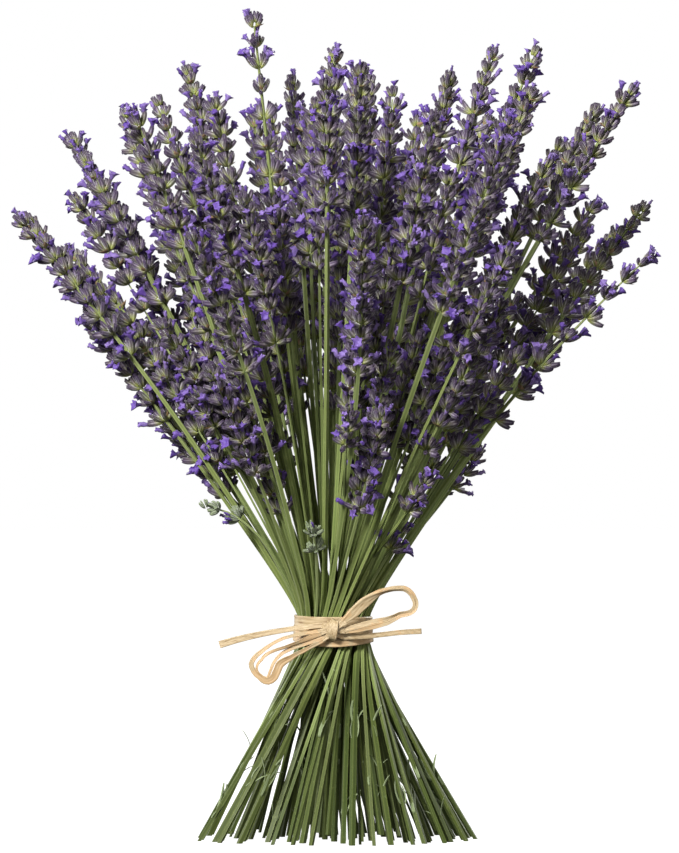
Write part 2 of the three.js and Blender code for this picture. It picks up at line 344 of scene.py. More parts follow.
bow_loop_right = raffia_piece("bow_right", [
    bow_strand(BOW_LOOP_RIGHT, (1.6, 3.9, 4.1, 2.0, 1.3, 1.3, 1.3, 1.4, 1.7, 2.1, 2.2, 1.8),
               (0.2, 0.1, 0.3, 0.9, 0.7, 0.3, -0.3, -0.6, 0.1, 0.2, 0.1), seed=3,
               offset=(0, 0, 0, 0.4, 0.6, 0.6, 1.5, 0.6, 1.5, 0.7, 0.9, 0.6, 0.3)),
    bow_strand(BOW_LOOP_RIGHT, (0.8, 1.0, 1.1, 1.3, 1.2, 1.3, 1.2, 1.3, 1.6, 2.0, 1.9, 1.4),
               (0.1, -0.2, -0.5, -0.9, -0.4, 0.1, 0.5, 0.2, -0.1, -0.2, -0.1), seed=4,
               offset=(-0.6, -1.6, -1.7, -0.8, -0.3, -0.4, 0.5, -0.4, 0.4, -0.9, -0.9, -0.7, -0.4)),
])
free_strand("bow_loop_right")

bow_loop_left = raffia_piece("bow_left", [
    bow_strand(BOW_LOOP_LEFT, (1.5, 1.6, 1.3, 1.5, 1.8, 2.1, 3.1, 3.3, 2.0, 1.5, 1.5),
               (0.1, 0.5, 0.2, 0.6, 0.2, 0.0, 0.1, 0.2, 0.3, 0.2, 0.1), seed=5,
               offset=(0.5, 0.8, 1.3, 1.6, 1.0, 0.3, 1.4, 0.2, 1.5, 0.6, 1.3, 1.2, 0.8, 0.5)),
    bow_strand(BOW_LOOP_LEFT, (1.5, 1.7, 1.5, 1.2, 1.4, 1.2, 1.1, 1.3, 1.6, 1.7, 1.5),
               (-0.1, -0.3, -0.6, -0.2, 0.5, 0.7, -0.1, -0.5, -0.2, -0.2, 0.0), seed=6,
               offset=(-0.5, -1.0, -1.6, -1.9, -1.5, -1.9, -0.4, -0.3, -1.6, -1.9, -1.4, -0.9, -0.5)),
])
free_strand("bow_loop_left")

tail_right = raffia_piece("cut_tail_right", [
    bow_strand(TAIL_RIGHT, (2.4, 2.2, 2.0, 2.0, 2.2), (0.1, 0.2, 0.1, 0.0, 0.1), count=50, seed=7),
])
free_strand("tail_right")

tail_left = raffia_piece("cut_tail_left", [
    bow_strand(TAIL_LEFT, (2.2, 2.0, 2.1, 2.3, 2.6, 2.9), (0.0, 0.3, 0.2, 0.1, 0.0, 0.1), count=60, seed=8),
])
free_strand("tail_left")

# -------------------- the raffia band
# The same strand wound round the waist. Its turns lie over each other, each at its own height and
# slant, and the narrow last one sags below the others in front.

band_low, band_high = (Vector(corner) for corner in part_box("raffia_band"))
BAND_CENTRE = (band_low + band_high) / 2
BAND_HEIGHT = band_high.z - band_low.z
BAND_SLOPE = 0.075
WAIST_WALL = (band_high.x - band_low.x) / 2 - BAND_SLOPE * BAND_HEIGHT / 2 - 0.55 * MM


def band_turn(height, width, out, slant, slant_at, seed, sag=0.0):
    """One turn round the waist: its height above the band's middle, its width, how far it lies
    outside the first turn, its slant, and how far it sags in front."""
    steps = 120
    draw = np.random.default_rng(seed)
    angle = np.linspace(0, 2 * math.pi, steps, endpoint=False)
    rise = height + slant * np.sin(angle - slant_at) - sag * np.maximum(-np.sin(angle), 0) ** 3
    ripple = 0.07 * MM * np.sin(21 * angle + draw.uniform(0, 6)) + 0.05 * MM * np.sin(5 * angle)
    radius = WAIST_WALL + BAND_SLOPE * np.abs(rise) + out + ripple
    outward = np.stack([np.cos(angle), np.sin(angle), np.zeros(steps)], 1)
    points = outward * radius[:, None]
    points[:, 2] = rise
    points += np.array(BAND_CENTRE)
    widths = np.full(steps, width) * (1 + 0.06 * np.sin(3 * angle + seed))
    return ribbon(points, widths, outward, curl=0.03, seed=seed, closed=True)


tie_band = raffia_piece("tie_band", [
    band_turn(0.4 * MM, 8.2 * MM, 0.0, 0.5 * MM, 1.0, 11),
    band_turn(2.4 * MM, 5.4 * MM, 0.28 * MM, 0.4 * MM, 2.4, 12, sag=0.5 * MM),
    band_turn(-2.4 * MM, 4.2 * MM, 0.3 * MM, -0.5 * MM, 0.4, 13, sag=0.5 * MM),
    band_turn(-0.1 * MM, 4.6 * MM, 0.62 * MM, 1.0 * MM, -0.9, 14),
    band_turn(-3.4 * MM, 2.5 * MM, 0.66 * MM, 0.7 * MM, 0.2, 15, sag=1.3 * MM),
])
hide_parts("raffia_band")

# -------------------- the knot
# The strand crosses itself and is pulled tight: one turn passes over the crossing from top to
# bottom, and four gathered ends spread from it into the loops and tails.


def knot_strand(route, widths, roll=0.0, seed=20):
    return bow_strand(from_knot(route), widths, (roll, roll), count=40, seed=seed)


knot_piece = raffia_piece("knot", [
    knot_strand([(0.6, -1.2, 3.9), (0.4, 0.9, 3.5), (0.1, 2.3, 1.4), (-0.1, 2.4, -1), (-0.3, 1.1, -3.2),
                 (-0.4, -1, -3.8)], (2.2, 3.2, 3.6, 3.4, 3.0, 2.0), 0.15, 21),
    knot_strand([(-1.3, -1, 3), (-1.5, 0.8, 2.7), (-1.6, 1.8, 0.9), (-1.2, 1.8, -1.2), (-0.8, 0.4, -3)],
                (1.6, 2.2, 2.4, 2.2, 1.6), 0.5, 22),
    knot_strand([(-2.6, 0.6, -2.4), (-1.2, 1.6, -1.2), (0.6, 2.0, 0.6), (2.4, 1.3, 2.2), (4.4, 1, 3.8)],
                (2.4, 2.2, 2.0, 2.8, 3.8), -0.1, 23),
    knot_strand([(4.6, 0.1, -0.1), (2.4, 1, 0), (0.4, 1.5, 0.2), (-2, 1, 0), (-4.8, 0.8, -0.7)],
                (2.8, 2.4, 1.8, 2.2, 2.6), 0.1, 24),
    knot_strand([(4.2, -1.5, -2.5), (2.2, 0.2, -1.9), (0.2, 0.8, -1.2), (-2.2, 0.7, -2.2), (-4.4, 0.4, -3.5)],
                (2.4, 2.2, 2.0, 2.2, 2.4), 0.2, 25),
    knot_strand([(-4.4, -1.3, 1.9), (-2.4, 0.2, 1.5), (-0.4, 0.8, 1), (1.6, 0.2, 0.4), (3, -1, -0.2)],
                (2.2, 2.0, 1.8, 1.8, 1.6), 0.0, 26),
])
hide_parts("raffia_knot")

# -------------------- how every sprig lies
# A sprig is one stem cut near its foot. The stems cross at the tie in a spiral, so each keeps its
# own place in the bundle all the way up. The lines of the solid sprigs give those places.


def sprig_rings(node):
    """The centre and radius of each ring of a sprig's solid, from its cut end to its tip."""
    mesh = node.data
    place = np.empty(3 * len(mesh.vertices))
    mesh.vertices.foreach_get("co", place)
    place, same = np.unique(place.reshape(-1, 3).round(7), axis=0, return_inverse=True)
    same = same.ravel()
    touching = [set() for _ in place]
    for edge in mesh.edges:
        a, b = same[edge.vertices[0]], same[edge.vertices[1]]
        touching[a].add(b)
        touching[b].add(a)
    layer = {int(place[:, 2].argmax())}
    seen = set(layer)
    rings = []
    while layer:
        ring = place[sorted(layer)]
        centre = ring.mean(0)
        rings.append((*centre, np.linalg.norm(ring - centre, axis=1).mean()))
        layer = {n for v in layer for n in touching[v]} - seen
        seen |= layer
    return np.array(rings[::-1])


TIE = np.array(BAND_CENTRE)
TIE_AT = TIE[2]
LINE_STEPS = 160
POINT_RADIUS = 0.01 * MM
HEAD_SWELL = 1.35
# Their lines stray from the others', so no sprig is laid out from them.
STANDOUTS = {"young_sprig_left", "young_sprig_front", "small_sprig_right", "lone_sprig_right"}


class Line:
    """The middle line of a sprig, evenly stepped from its cut end to its tip."""

    def __init__(self, points, neck_share=None):
        self.points, self.length = smooth_line(points, LINE_STEPS)
        self.neck = neck_share

    def across_at(self, height):
        """Where the line, run on straight past its tip, is at a height."""
        z = self.points[:, 2]
        x = np.interp(height, z, self.points[:, 0])
        y = np.interp(height, z, self.points[:, 1])
        end = (self.points[-1] - self.points[-9]) / (z[-1] - z[-9])
        past = np.maximum(height - z[-1], 0)
        return np.stack([x + end[0] * past, y + end[1] * past], -1)


def line_of(name):
    rings = sprig_rings(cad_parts[name])
    if rings[0, 3] <= POINT_RADIUS:
        rings = rings[1:]
    stem = rings[:4, 3].mean()
    first_whorl = next(i for i in range(3, len(rings)) if rings[i, 3] > HEAD_SWELL * stem)
    steps = np.linalg.norm(np.diff(rings[:, :3], axis=0), axis=1)
    along = np.concatenate([[0], np.cumsum(steps)])
    return Line(rings[:, :3], along[first_whorl - 1] / along[-1])


solid_lines = {name: line_of(name) for name in sorted(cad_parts) if "sprig" in name}

# -------------------- the green stem
# A lavender stem is square, with a rib at each corner and a shallow groove down each side, olive
# green with a greyish bloom that thickens towards the flower head.


def make_stem_material():
    stem = Shader("stem")
    along, _, rib, own = stem.grain()
    body = stem.ramp(along, [
        (0.0, (0.078, 0.122, 0.024)), (0.22, (0.088, 0.135, 0.028)), (0.33, (0.22, 0.275, 0.088)),
        (0.62, (0.29, 0.345, 0.14)), (0.85, (0.37, 0.41, 0.215)),
    ])
    yellow = stem.mix(stem.spread(own, 0.0, 0.5), body, (0.19, 0.19, 0.045))
    # Painted shade: the grooves down the sides are darkened towards their hollows.
    groove_shaded = stem.mix(stem.spread(rib, 0.6, 0.0), yellow, (0.065, 0.1, 0.02))
    ridge = stem.maths("POWER", rib, 3.0)
    ridged = stem.mix(stem.maths("MULTIPLY", ridge, 0.55), groove_shaded, (0.3, 0.35, 0.15))
    cloud = stem.noise(260.0, 5.0, (1, 1, 0.12))
    frosted = stem.mix(stem.spread(cloud, 0.0, 0.22), ridged, (0.27, 0.3, 0.165))
    speck = stem.noise(2200.0, 2.0, (1, 1, 0.3))
    flecked = stem.mix(stem.maths("MULTIPLY", stem.maths("GREATER_THAN", speck, 0.66), 0.5),
                       frosted, (0.34, 0.37, 0.2))
    # Painted shade: the stems are multiplied darker low down, below the tie where they crowd together in the
    # bundle.
    painted_shade_below_tie = stem.ramp(along, [
        (0.0, (0.5, 0.54, 0.29)), (0.24, (0.53, 0.56, 0.32)), (0.36, (0.95, 1.0, 0.78)),
    ])
    colour = stem.mix(1.0, flecked, painted_shade_below_tie, "MULTIPLY")
    stem.bump(stem.noise(900.0, 3.0, (1, 1, 0.08)), 0.35, 0.00015)
    return stem.finish(colour, stem.spread(cloud, 0.45, 0.75), Specular_IOR_Level=0.35, Sheen_Weight=0.06)


# -------------------- the calyx
# Each flower sits in a calyx: a ribbed tube about 6 mm long, narrow at its base and full in the
# middle, greenish below and grey violet above, felted with pale hairs. A tooth hoods its mouth.


def make_calyx_material():
    calyx = Shader("calyx")
    along, tone, rib, own = calyx.grain()
    body = calyx.ramp(tone, [
        (0.0, (0.165, 0.125, 0.195)), (0.2, (0.13, 0.09, 0.15)), (0.36, (0.165, 0.125, 0.13)),
        (0.5, (0.215, 0.205, 0.115)), (0.64, (0.15, 0.11, 0.165)), (0.8, (0.235, 0.21, 0.225)),
        (0.9, (0.175, 0.13, 0.095)), (1.0, (0.2, 0.225, 0.105)),
    ])
    olive = calyx.mix(calyx.spread(own, 0.55, -0.6), body, (0.15, 0.148, 0.08))
    violet = calyx.mix(calyx.spread(own, -0.9, 0.35), olive, (0.165, 0.115, 0.22))
    base = calyx.ramp(along, [(0.2, (1, 1, 1)), (0.58, (0, 0, 0))])
    green = calyx.mix(calyx.maths("MULTIPLY", base, 0.95), violet, (0.4, 0.45, 0.085))
    dusk = calyx.ramp(along, [(0.55, (0, 0, 0)), (0.92, (1, 1, 1))])
    tip = calyx.mix(calyx.maths("MULTIPLY", dusk, 0.85), green, (0.04, 0.022, 0.062))
    unripe = calyx.mix(calyx.maths("LESS_THAN", own, 0.02), tip, (0.26, 0.32, 0.17))
    hair = calyx.noise(1500.0, 3.0)
    # Painted shade: the grooves between the ribs are darkened almost to black.
    groove = calyx.mix(calyx.spread(rib, 0.55, 0.0), unripe, (0.03, 0.02, 0.038))
    ridge = calyx.maths("POWER", rib, 2.0)
    felt = calyx.maths("MULTIPLY", ridge, calyx.spread(hair, -0.5, 1.5), clamp=True)
    where = calyx.ramp(along, [
        (0.12, (0.1,) * 3), (0.42, (1, 1, 1)), (0.7, (0.75,) * 3), (0.92, (0.12,) * 3),
    ])
    felt = calyx.maths("MULTIPLY", felt, where)
    felted = calyx.mix(calyx.maths("MULTIPLY", felt, 0.8), groove, (0.56, 0.525, 0.57))
    calyx.bump(hair, 0.5, 0.0003)
    return calyx.finish(felted, calyx.spread(hair, 0.6, 0.9), Sheen_Weight=0.35, Sheen_Roughness=0.35,
                        Specular_IOR_Level=0.2)


TUBE_SIDES = 10


def tube(stations, radii, bend, ribs=0.0, squash=1.0, tooth=0.0):
    """A unit-long hollow-looking tube along +X that curls upwards by bend, as rings of vertices.
    Stations run along it and radii are its half widths; ribs is how deep its grooves are."""
    angle = np.linspace(0, 2 * math.pi, TUBE_SIDES, endpoint=False)
    groove = np.where(np.arange(TUBE_SIDES) % 2 == 0, 1.0, 1.0 - ribs)
    rings = []
    for i, (s, r) in enumerate(zip(stations, radii)):
        turn = bend * s
        if abs(bend) > 1e-6:
            centre = np.array([math.sin(turn) / bend, 0, (1 - math.cos(turn)) / bend])
        else:
            centre = np.array([s, 0, 0])
        up = np.array([-math.sin(turn), 0, math.cos(turn)])
        ahead = np.array([math.cos(turn), 0, math.sin(turn)])
        ring = centre + r * groove[:, None] * (
            np.cos(angle)[:, None] * up + squash * np.sin(angle)[:, None] * np.array([0, 1, 0])
        )
        if tooth and i == len(stations) - 3:
            ring = ring + tooth * np.maximum(np.cos(angle), 0)[:, None] ** 2 * ahead
        rings.append(ring)
    return np.concatenate(rings)


class Shape:
    """A small part kept as arrays, ready to be set down many times. Its grain is how far along and
    how far across; kind is its place in a sprig's list of materials."""

    def __init__(self, vertices, faces, along, across, kind):
        self.vertices = np.asarray(vertices, float)
        self.faces = faces
        self.along = np.asarray(along, float)
        self.across = np.asarray(across, float)
        self.kind = kind


STEM, CALYX, COROLLA, BRACT, LEAF = range(5)

CALYX_STATIONS = np.array([0.0, 0.1, 0.26, 0.46, 0.66, 0.84, 0.97, 0.95, 0.86])
CALYX_RADII = np.array([0.06, 0.108, 0.16, 0.19, 0.186, 0.16, 0.118, 0.07, 0.02])
CALYX_ALONG = [0.0, 0.1, 0.26, 0.46, 0.66, 0.84, 0.96, 0.99, 1.0]
CALYX_GROOVE = 0.17
CALYX_SQUASH = 0.92


def make_calyx(bend, fullness, tooth):
    radii = CALYX_RADII * fullness
    vertices = tube(CALYX_STATIONS, radii, bend, CALYX_GROOVE, CALYX_SQUASH, tooth)
    along = np.repeat(CALYX_ALONG, TUBE_SIDES)
    rows = len(CALYX_STATIONS)
    rib = np.tile([1.0, 0.0], TUBE_SIDES // 2 * rows)
    return Shape(vertices, ring_faces(rows, TUBE_SIDES), along, rib, CALYX)


calyx_shapes = [
    make_calyx(0.25, 0.94, 0.06),
    make_calyx(0.45, 0.86, 0.09),
    make_calyx(0.1, 1.04, 0.04),
    make_calyx(0.35, 0.78, 0.1),
]

# -------------------- the corolla
# Some calyces carry an open flower: a violet tube that spreads into five crumpled lobes, two above
# and three below. Others show a closed bud, and most show no flower at all.


def make_corolla_material():
    corolla = Shader("corolla")
    along, tone, across, _ = corolla.grain()
    body = corolla.ramp(along, [
        (0.0, (0.11, 0.06, 0.2)), (0.4, (0.085, 0.034, 0.27)), (1.0, (0.165, 0.078, 0.44)),
    ])
    vein = corolla.mix(corolla.spread(across, 0.35, 0.0), body, (0.06, 0.026, 0.15))
    faded = corolla.mix(corolla.spread(tone, -0.2, 0.75), vein, (0.4, 0.285, 0.6))
    crumple = corolla.noise(1300.0, 4.0)
    # Painted shade: the lobes are darkened in the hollows of the crumple.
    shaded = corolla.mix(corolla.spread(crumple, 0.6, 0.0), faded, (0.05, 0.024, 0.12))
    corolla.bump(crumple, 0.5, 0.0003)
    return corolla.finish(shaded, corolla.spread(crumple, 0.45, 0.75), Sheen_Weight=0.08)


FLOWER_BEND = 0.28


def make_flower(seed, open_by):
    """Tube and lobes past the mouth of a unit-long calyx."""
    draw = np.random.default_rng(seed)
    stations = np.array([0.82, 0.98, 1.12, 1.26, 1.38, 1.4, 1.26])
    radii = np.array([0.09, 0.11, 0.15, 0.215, 0.275, 0.2, 0.05])
    radii[3:6] *= open_by
    vertices = tube(stations, radii, FLOWER_BEND)
    rings = vertices.reshape(len(stations), TUBE_SIDES, 3).copy()
    centre = rings.mean(1, keepdims=True)
    lobe = np.where(np.arange(TUBE_SIDES) % 2 == 0, 1.22, 0.74) * draw.uniform(0.72, 1.22, TUBE_SIDES)
    for row, share in ((2, 0.3), (3, 0.7), (4, 1.0), (5, 0.9)):
        rings[row] = centre[row] + (rings[row] - centre[row]) * (1 + (lobe - 1) * share)[:, None]
        rings[row] += draw.uniform(-0.075, 0.075, (TUBE_SIDES, 3)) * share
    along = np.repeat([0.0, 0.25, 0.5, 0.75, 1.0, 0.9, 0.6], TUBE_SIDES)
    across = np.tile([0.0, 1.0], TUBE_SIDES // 2 * len(stations))
    faces = ring_faces(len(stations), TUBE_SIDES)
    return Shape(rings.reshape(-1, 3), faces, along, across, COROLLA)


flower_shapes = [make_flower(31, 1.0), make_flower(32, 1.15), make_flower(33, 0.9), make_flower(34, 1.05)]
bud_shapes = [make_flower(41, 0.34), make_flower(42, 0.42)]

# -------------------- the bract
# Under each whorl sit two papery bracts, broad at the base and drawn out to a point, tan with
# brown veins.


def make_bract_material():
    bract = Shader("bract")
    along, tone, across, _ = bract.grain()
    body = bract.ramp(along, [
        (0.0, (0.36, 0.32, 0.16)), (0.5, (0.34, 0.235, 0.125)), (1.0, (0.2, 0.105, 0.055)),
    ])
    veined = bract.mix(bract.spread(across, 0.3, 0.0), body, (0.17, 0.09, 0.045))
    rusty = bract.mix(bract.spread(tone, 0.0, 0.45), veined, (0.33, 0.15, 0.06))
    paper = bract.noise(1100.0, 4.0)
    dusty = bract.mix(bract.spread(paper, 0.0, 0.3), rusty, (0.48, 0.4, 0.26))
    bract.bump(paper, 0.4, 0.0002)
    return bract.finish(dusty, bract.spread(paper, 0.55, 0.85))


def make_blade(kind, lengthwise, half_width, cup, arch, thickness):
    """A thin leaf-like shape of unit length along +X, arched upwards and cupped."""
    rows, columns = len(lengthwise), 5
    share = np.linspace(-1, 1, columns)
    sheets = []
    for side in (1, -1):
        sheet = np.empty((rows, columns, 3))
        for i, (s, w) in enumerate(zip(lengthwise, half_width)):
            sheet[i, :, 0] = s
            sheet[i, :, 1] = share * w
            half_thick = side * thickness * (1 - 0.9 * share**2) / 2
            sheet[i, :, 2] = arch * s**2 + cup * share**2 * w + half_thick
        sheets.append(sheet if side == 1 else sheet[:, ::-1])
    around = np.concatenate(sheets, 1)
    sides = 2 * columns
    along = np.repeat(np.asarray(lengthwise) / lengthwise[-1], sides)
    across = np.tile(np.concatenate([1 - np.abs(share), 1 - np.abs(share)]), rows)
    return Shape(around.reshape(-1, 3), ring_faces(rows, sides), along, across, kind)


BRACT_ALONG = [0, 0.15, 0.4, 0.7, 0.9, 1.0]
BRACT_HALF_WIDTH = np.array([0.14, 0.42, 0.46, 0.22, 0.08, 0.015])
bract_shapes = [
    make_blade(BRACT, BRACT_ALONG, BRACT_HALF_WIDTH * wide, cup=0.5, arch=arch, thickness=0.02)
    for wide, arch in ((1.0, 0.25), (0.75, 0.45))
]

# -------------------- the leaf
# Low on the stem sit pairs of narrow leaves with rolled edges, grey green and felted.


def make_leaf_material():
    leaf = Shader("leaf")
    along, _, across, _ = leaf.grain()
    body = leaf.ramp(along, [
        (0.0, (0.15, 0.2, 0.07)), (0.6, (0.085, 0.125, 0.034)), (1.0, (0.14, 0.18, 0.07)),
    ])
    rolled = leaf.mix(leaf.spread(across, 0.55, 0.0), body, (0.33, 0.385, 0.21))
    felt = leaf.noise(1200.0, 4.0)
    felted = leaf.mix(leaf.spread(felt, 0.0, 0.25), rolled, (0.26, 0.3, 0.18))
    leaf.bump(felt, 0.3, 0.0002)
    return leaf.finish(felted, leaf.spread(felt, 0.6, 0.85), Sheen_Weight=0.08)


LEAF_ALONG = [0, 0.1, 0.3, 0.55, 0.8, 0.95, 1.0]
LEAF_HALF_WIDTH = np.array([0.035, 0.045, 0.055, 0.06, 0.055, 0.038, 0.012])
leaf_shapes = [
    make_blade(LEAF, LEAF_ALONG, LEAF_HALF_WIDTH * wide, cup=-0.5, arch=arch, thickness=0.03)
    for wide, arch in ((1.0, 0.35), (0.8, -0.35), (1.15, 0.7))
]

SPRIG_MATERIALS = [
    make_stem_material(), make_calyx_material(), make_corolla_material(), make_bract_material(),
    make_leaf_material(),
]

# -------------------- a whole sprig
# The stem carries its flowers in whorls. A whorl is two opposite fans of calyces above a pair of
# bracts, and each whorl is turned a quarter from the one below. The whorls close up to the tip.

# Each material has a band of the pattern's sheet, cut into strips for its different tones.
UV_BANDS = {
    STEM: (0.0, 0.16), CALYX: (0.16, 0.66), COROLLA: (0.66, 0.82), BRACT: (0.82, 0.91), LEAF: (0.91, 1.0),
}
UV_TONES = {STEM: 1, CALYX: 8, COROLLA: 4, BRACT: 2, LEAF: 2}


class Sprig:
    """One sprig's mesh while it is put together."""

    def __init__(self, own_tone):
        self.vertices, self.faces, self.kinds, self.grain, self.uv = [], [], [], [], []
        self.count = 0
        self.own = own_tone

    def add(self, vertices, faces, along, across, kind, tone):
        self.faces += [tuple(k + self.count for k in face) for face in faces]
        self.kinds += [kind] * len(faces)
        self.vertices.append(vertices)
        size = len(vertices)
        self.grain.append(np.stack([along, np.full(size, tone), across, np.full(size, self.own)], 1))
        low, high = UV_BANDS[kind]
        level = min(int(tone * UV_TONES[kind]), UV_TONES[kind] - 1)
        step = (high - low) / UV_TONES[kind]
        self.uv.append(np.stack([0.01 + 0.98 * along, low + step * (level + 0.1 + 0.8 * across)], 1))
        self.count += size

    def set_down(self, shape, at, outward, axis, lean, size, tone, roll=0.0):
        """Puts a shape down at a point: it leaves the axis by lean, towards outward."""
        side = np.cross(axis, outward)
        ahead = outward * math.sin(lean) + axis * math.cos(lean)
        up = axis * math.sin(lean) - outward * math.cos(lean)
        if roll:
            level_up, level_side = up, side
            up = level_up * math.cos(roll) + level_side * math.sin(roll)
            side = level_side * math.cos(roll) - level_up * math.sin(roll)
        frame_axes = np.stack([ahead * size, side * size, up * size])
        self.add(at + shape.vertices @ frame_axes, shape.faces, shape.along, shape.across, shape.kind, tone)

    def finish(self, name):
        piece = link_mesh(
            name, np.concatenate(self.vertices), self.faces, SPRIG_MATERIALS, np.concatenate(self.grain),
            np.concatenate(self.uv), self.kinds, smooth=np.array(self.kinds) != STEM,
        )
        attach(piece, "root")
        return piece


def frames_along(points):
    """Tangents and two crosswise directions that turn as little as they can along a line."""
    tangent = unit(np.gradient(points, axis=0))
    first = np.empty_like(points)
    first[0] = unit(np.cross(np.cross(tangent[0], [0.3, 1.0, 0.1]), tangent[0]))
    for i in range(1, len(points)):
        first[i] = unit(first[i - 1] - tangent[i] * (first[i - 1] @ tangent[i]))
    return tangent, first, np.cross(tangent, first)


STEM_SIDES = 8
STEM_RINGS = 56
STEM_END = 0.985
FIRST_RING = 0.004
CORNER, HOLLOW = 1.12, 0.8


def add_stem(sprig, line, radius, neck_radius, twist):
    """The square stem, with a level cut at its foot. It ends inside the tuft at the tip."""
    at = np.unique(np.concatenate([np.linspace(0, STEM_END, STEM_RINGS), [FIRST_RING]]))
    even = np.linspace(0, 1, LINE_STEPS)
    centre = np.stack([np.interp(at, even, line.points[:, k]) for k in range(3)], 1)
    tangent, first, second = frames_along(centre)
    thinning = radius + (neck_radius - radius) * np.clip(at / line.neck, 0, 1) ** 2
    past_neck = np.clip((at - line.neck) / (1 - line.neck), 0, 1)
    thinning = thinning * (1 - 0.6 * past_neck)
    angle = np.arange(STEM_SIDES) * 2 * math.pi / STEM_SIDES
    shape = np.where(np.arange(STEM_SIDES) % 2 == 0, CORNER, HOLLOW)
    rings = []
    for i in range(len(at)):
        turn = angle + twist + 0.4 * at[i]
        ring = centre[i] + thinning[i] * shape[:, None] * (
            np.cos(turn)[:, None] * first[i] + np.sin(turn)[:, None] * second[i]
        )
        if i == 0:
            ring = ring + tangent[0] * ((centre[0, 2] - ring[:, 2]) / tangent[0, 2])[:, None]
        rings.append(ring)
    along = np.repeat(at / STEM_END, STEM_SIDES)
    rib = np.tile([1.0, 0.0], STEM_SIDES // 2 * len(at))
    sprig.add(np.concatenate(rings), ring_faces(len(at), STEM_SIDES), along, rib, STEM, 0.5)


WHORL_STEP = 7.4 * MM
CLOSEST_WHORLS = 3.9 * MM
TUFT_DEPTH = 3.4 * MM
TUFT_BUDS = 6
TUFT_CALYX = 4.3 * MM
LOWEST_CALYX = 6.7
CALYX_SHORTENING = 1.8


def whorl_places(length, draw, open_style):
    """Distances of the whorls from the neck, closing up towards the tip."""
    gap = (draw.uniform(11.0, 15.0) if open_style else draw.uniform(7.5, 9.0)) * MM
    at, places = 0.3 * MM, []
    shrink = draw.uniform(0.925, 0.95)
    gap_now = WHORL_STEP * draw.uniform(0.95, 1.15)
    while at < length - TUFT_DEPTH:
        places.append(at)
        at += gap
        gap = max(gap_now, CLOSEST_WHORLS)
        gap_now *= shrink
    return places


def add_whorl(sprig, at, axis, side, front, turn, share, draw, size, flowers, per_side, young):
    """Two opposite fans of calyces and their bracts. share is how far up the head it sits."""
    per_side = per_side or (4 if share < 0.72 else 3)
    length = (LOWEST_CALYX - CALYX_SHORTENING * share**2.5) * MM * size
    for fan in (0, 1):
        middle = turn + fan * math.pi
        fan_out = side * math.cos(middle) + front * math.sin(middle)
        if share < 0.97 and not young:
            tone = draw.uniform(0, 1)
            bract = bract_shapes[draw.integers(2)]
            lean = math.radians(draw.uniform(62, 88))
            bract_length = length * draw.uniform(0.5, 0.7)
            sprig.set_down(bract, at + fan_out * 0.5 * MM, fan_out, axis, lean, bract_length, tone)
        places = [(k - (per_side - 1) / 2) * 0.62 for k in range(per_side)]
        for k, offset in enumerate(places):
            angle = middle + offset + draw.normal(0, 0.19)
            outward = side * math.cos(angle) + front * math.sin(angle)
            lean = math.radians(np.clip(draw.normal(62 - 24 * share**1.5, 13), 12, 92))
            add_flower(sprig, at, outward, axis, lean, length * draw.uniform(0.8, 1.14), draw, flowers)
        for k in range(max(per_side - 1, 2)):
            angle = middle + (k - (per_side - 2) / 2) * 0.75 + draw.normal(0, 0.2)
            outward = side * math.cos(angle) + front * math.sin(angle)
            lean = math.radians(draw.normal(30 - 10 * share, 9))
            lifted = at + axis * 0.9 * MM
            calyx_length = length * draw.uniform(0.78, 0.98)
            add_flower(sprig, lifted, outward, axis, lean, calyx_length, draw, flowers * 1.2)


CLOSED_BUDS = 0.1


def add_flower(sprig, at, outward, axis, lean, length, draw, flowers):
    tone = draw.uniform(0, 0.999)
    shape = calyx_shapes[draw.integers(len(calyx_shapes))]
    base = at + outward * 0.75 * MM
    sprig.set_down(shape, base, outward, axis, lean, length, tone)
    chance = draw.uniform()
    if chance < flowers:
        shape = flower_shapes[draw.integers(len(flower_shapes))]
        tone = draw.uniform(0, 0.7)
        sprig.set_down(shape, base, outward, axis, lean, length, tone, roll=draw.normal(0, 0.3))
    elif chance < flowers + CLOSED_BUDS:
        shape = bud_shapes[draw.integers(2)]
        sprig.set_down(shape, base, outward, axis, lean, length, draw.uniform(0, 0.999))


def add_leaf_pair(sprig, line, share, turn, length, lean, draw):
    """Two opposite leaves at a joint of the stem, pointing up it."""
    i = int(share * (LINE_STEPS - 1))
    tangent, first, second = frames_along(line.points[max(i - 3, 0):i + 4])
    axis = tangent[3] if len(tangent) > 3 else tangent[0]
    side, front = first[min(3, len(first) - 1)], second[min(3, len(second) - 1)]
    for half in (0, math.pi):
        outward = side * math.cos(turn + half) + front * math.sin(turn + half)
        sprig.set_down(leaf_shapes[draw.integers(len(leaf_shapes))], line.points[i] + outward * 0.8 * MM,
                       outward, axis, lean * draw.uniform(0.7, 1.3), length * draw.uniform(0.75, 1.15),
                       draw.uniform(0, 0.99))


def add_head(sprig, line, places, draw, size, flowers, per_side=None, young=False):
    """The whorls at their distances from the neck, and the tuft of buds at the tip."""
    even = np.linspace(0, 1, LINE_STEPS)
    tangent, first, second = frames_along(line.points)
    head = line.length * (1 - line.neck)
    turn = draw.uniform(0, math.pi)
    for k, distance in enumerate(places):
        share = line.neck + distance / line.length
        at = np.array([np.interp(share, even, line.points[:, c]) for c in range(3)])
        i = min(int(share * (LINE_STEPS - 1)), LINE_STEPS - 1)
        in_flower = flowers * draw.choice([0.25, 0.6, 1.0, 2.6])
        add_whorl(sprig, at, tangent[i], first[i], second[i], turn + k * math.pi / 2, distance / head,
                  draw, size, in_flower, per_side, young)
    for k in range(TUFT_BUDS):
        angle = k * 2 * math.pi / TUFT_BUDS
        outward = first[-1] * math.cos(angle) + second[-1] * math.sin(angle)
        add_flower(sprig, line.points[-1] - tangent[-1] * TUFT_DEPTH, outward, tangent[-1],
                   math.radians(draw.normal(20, 7)), TUFT_CALYX * size, draw, flowers * 1.2)


SHOOT_STEPS = 12
SHOOT_STEM, SHOOT_NECK = 0.62 * MM, 0.5 * MM
SHOOT_WHORLS = 6.5 * MM


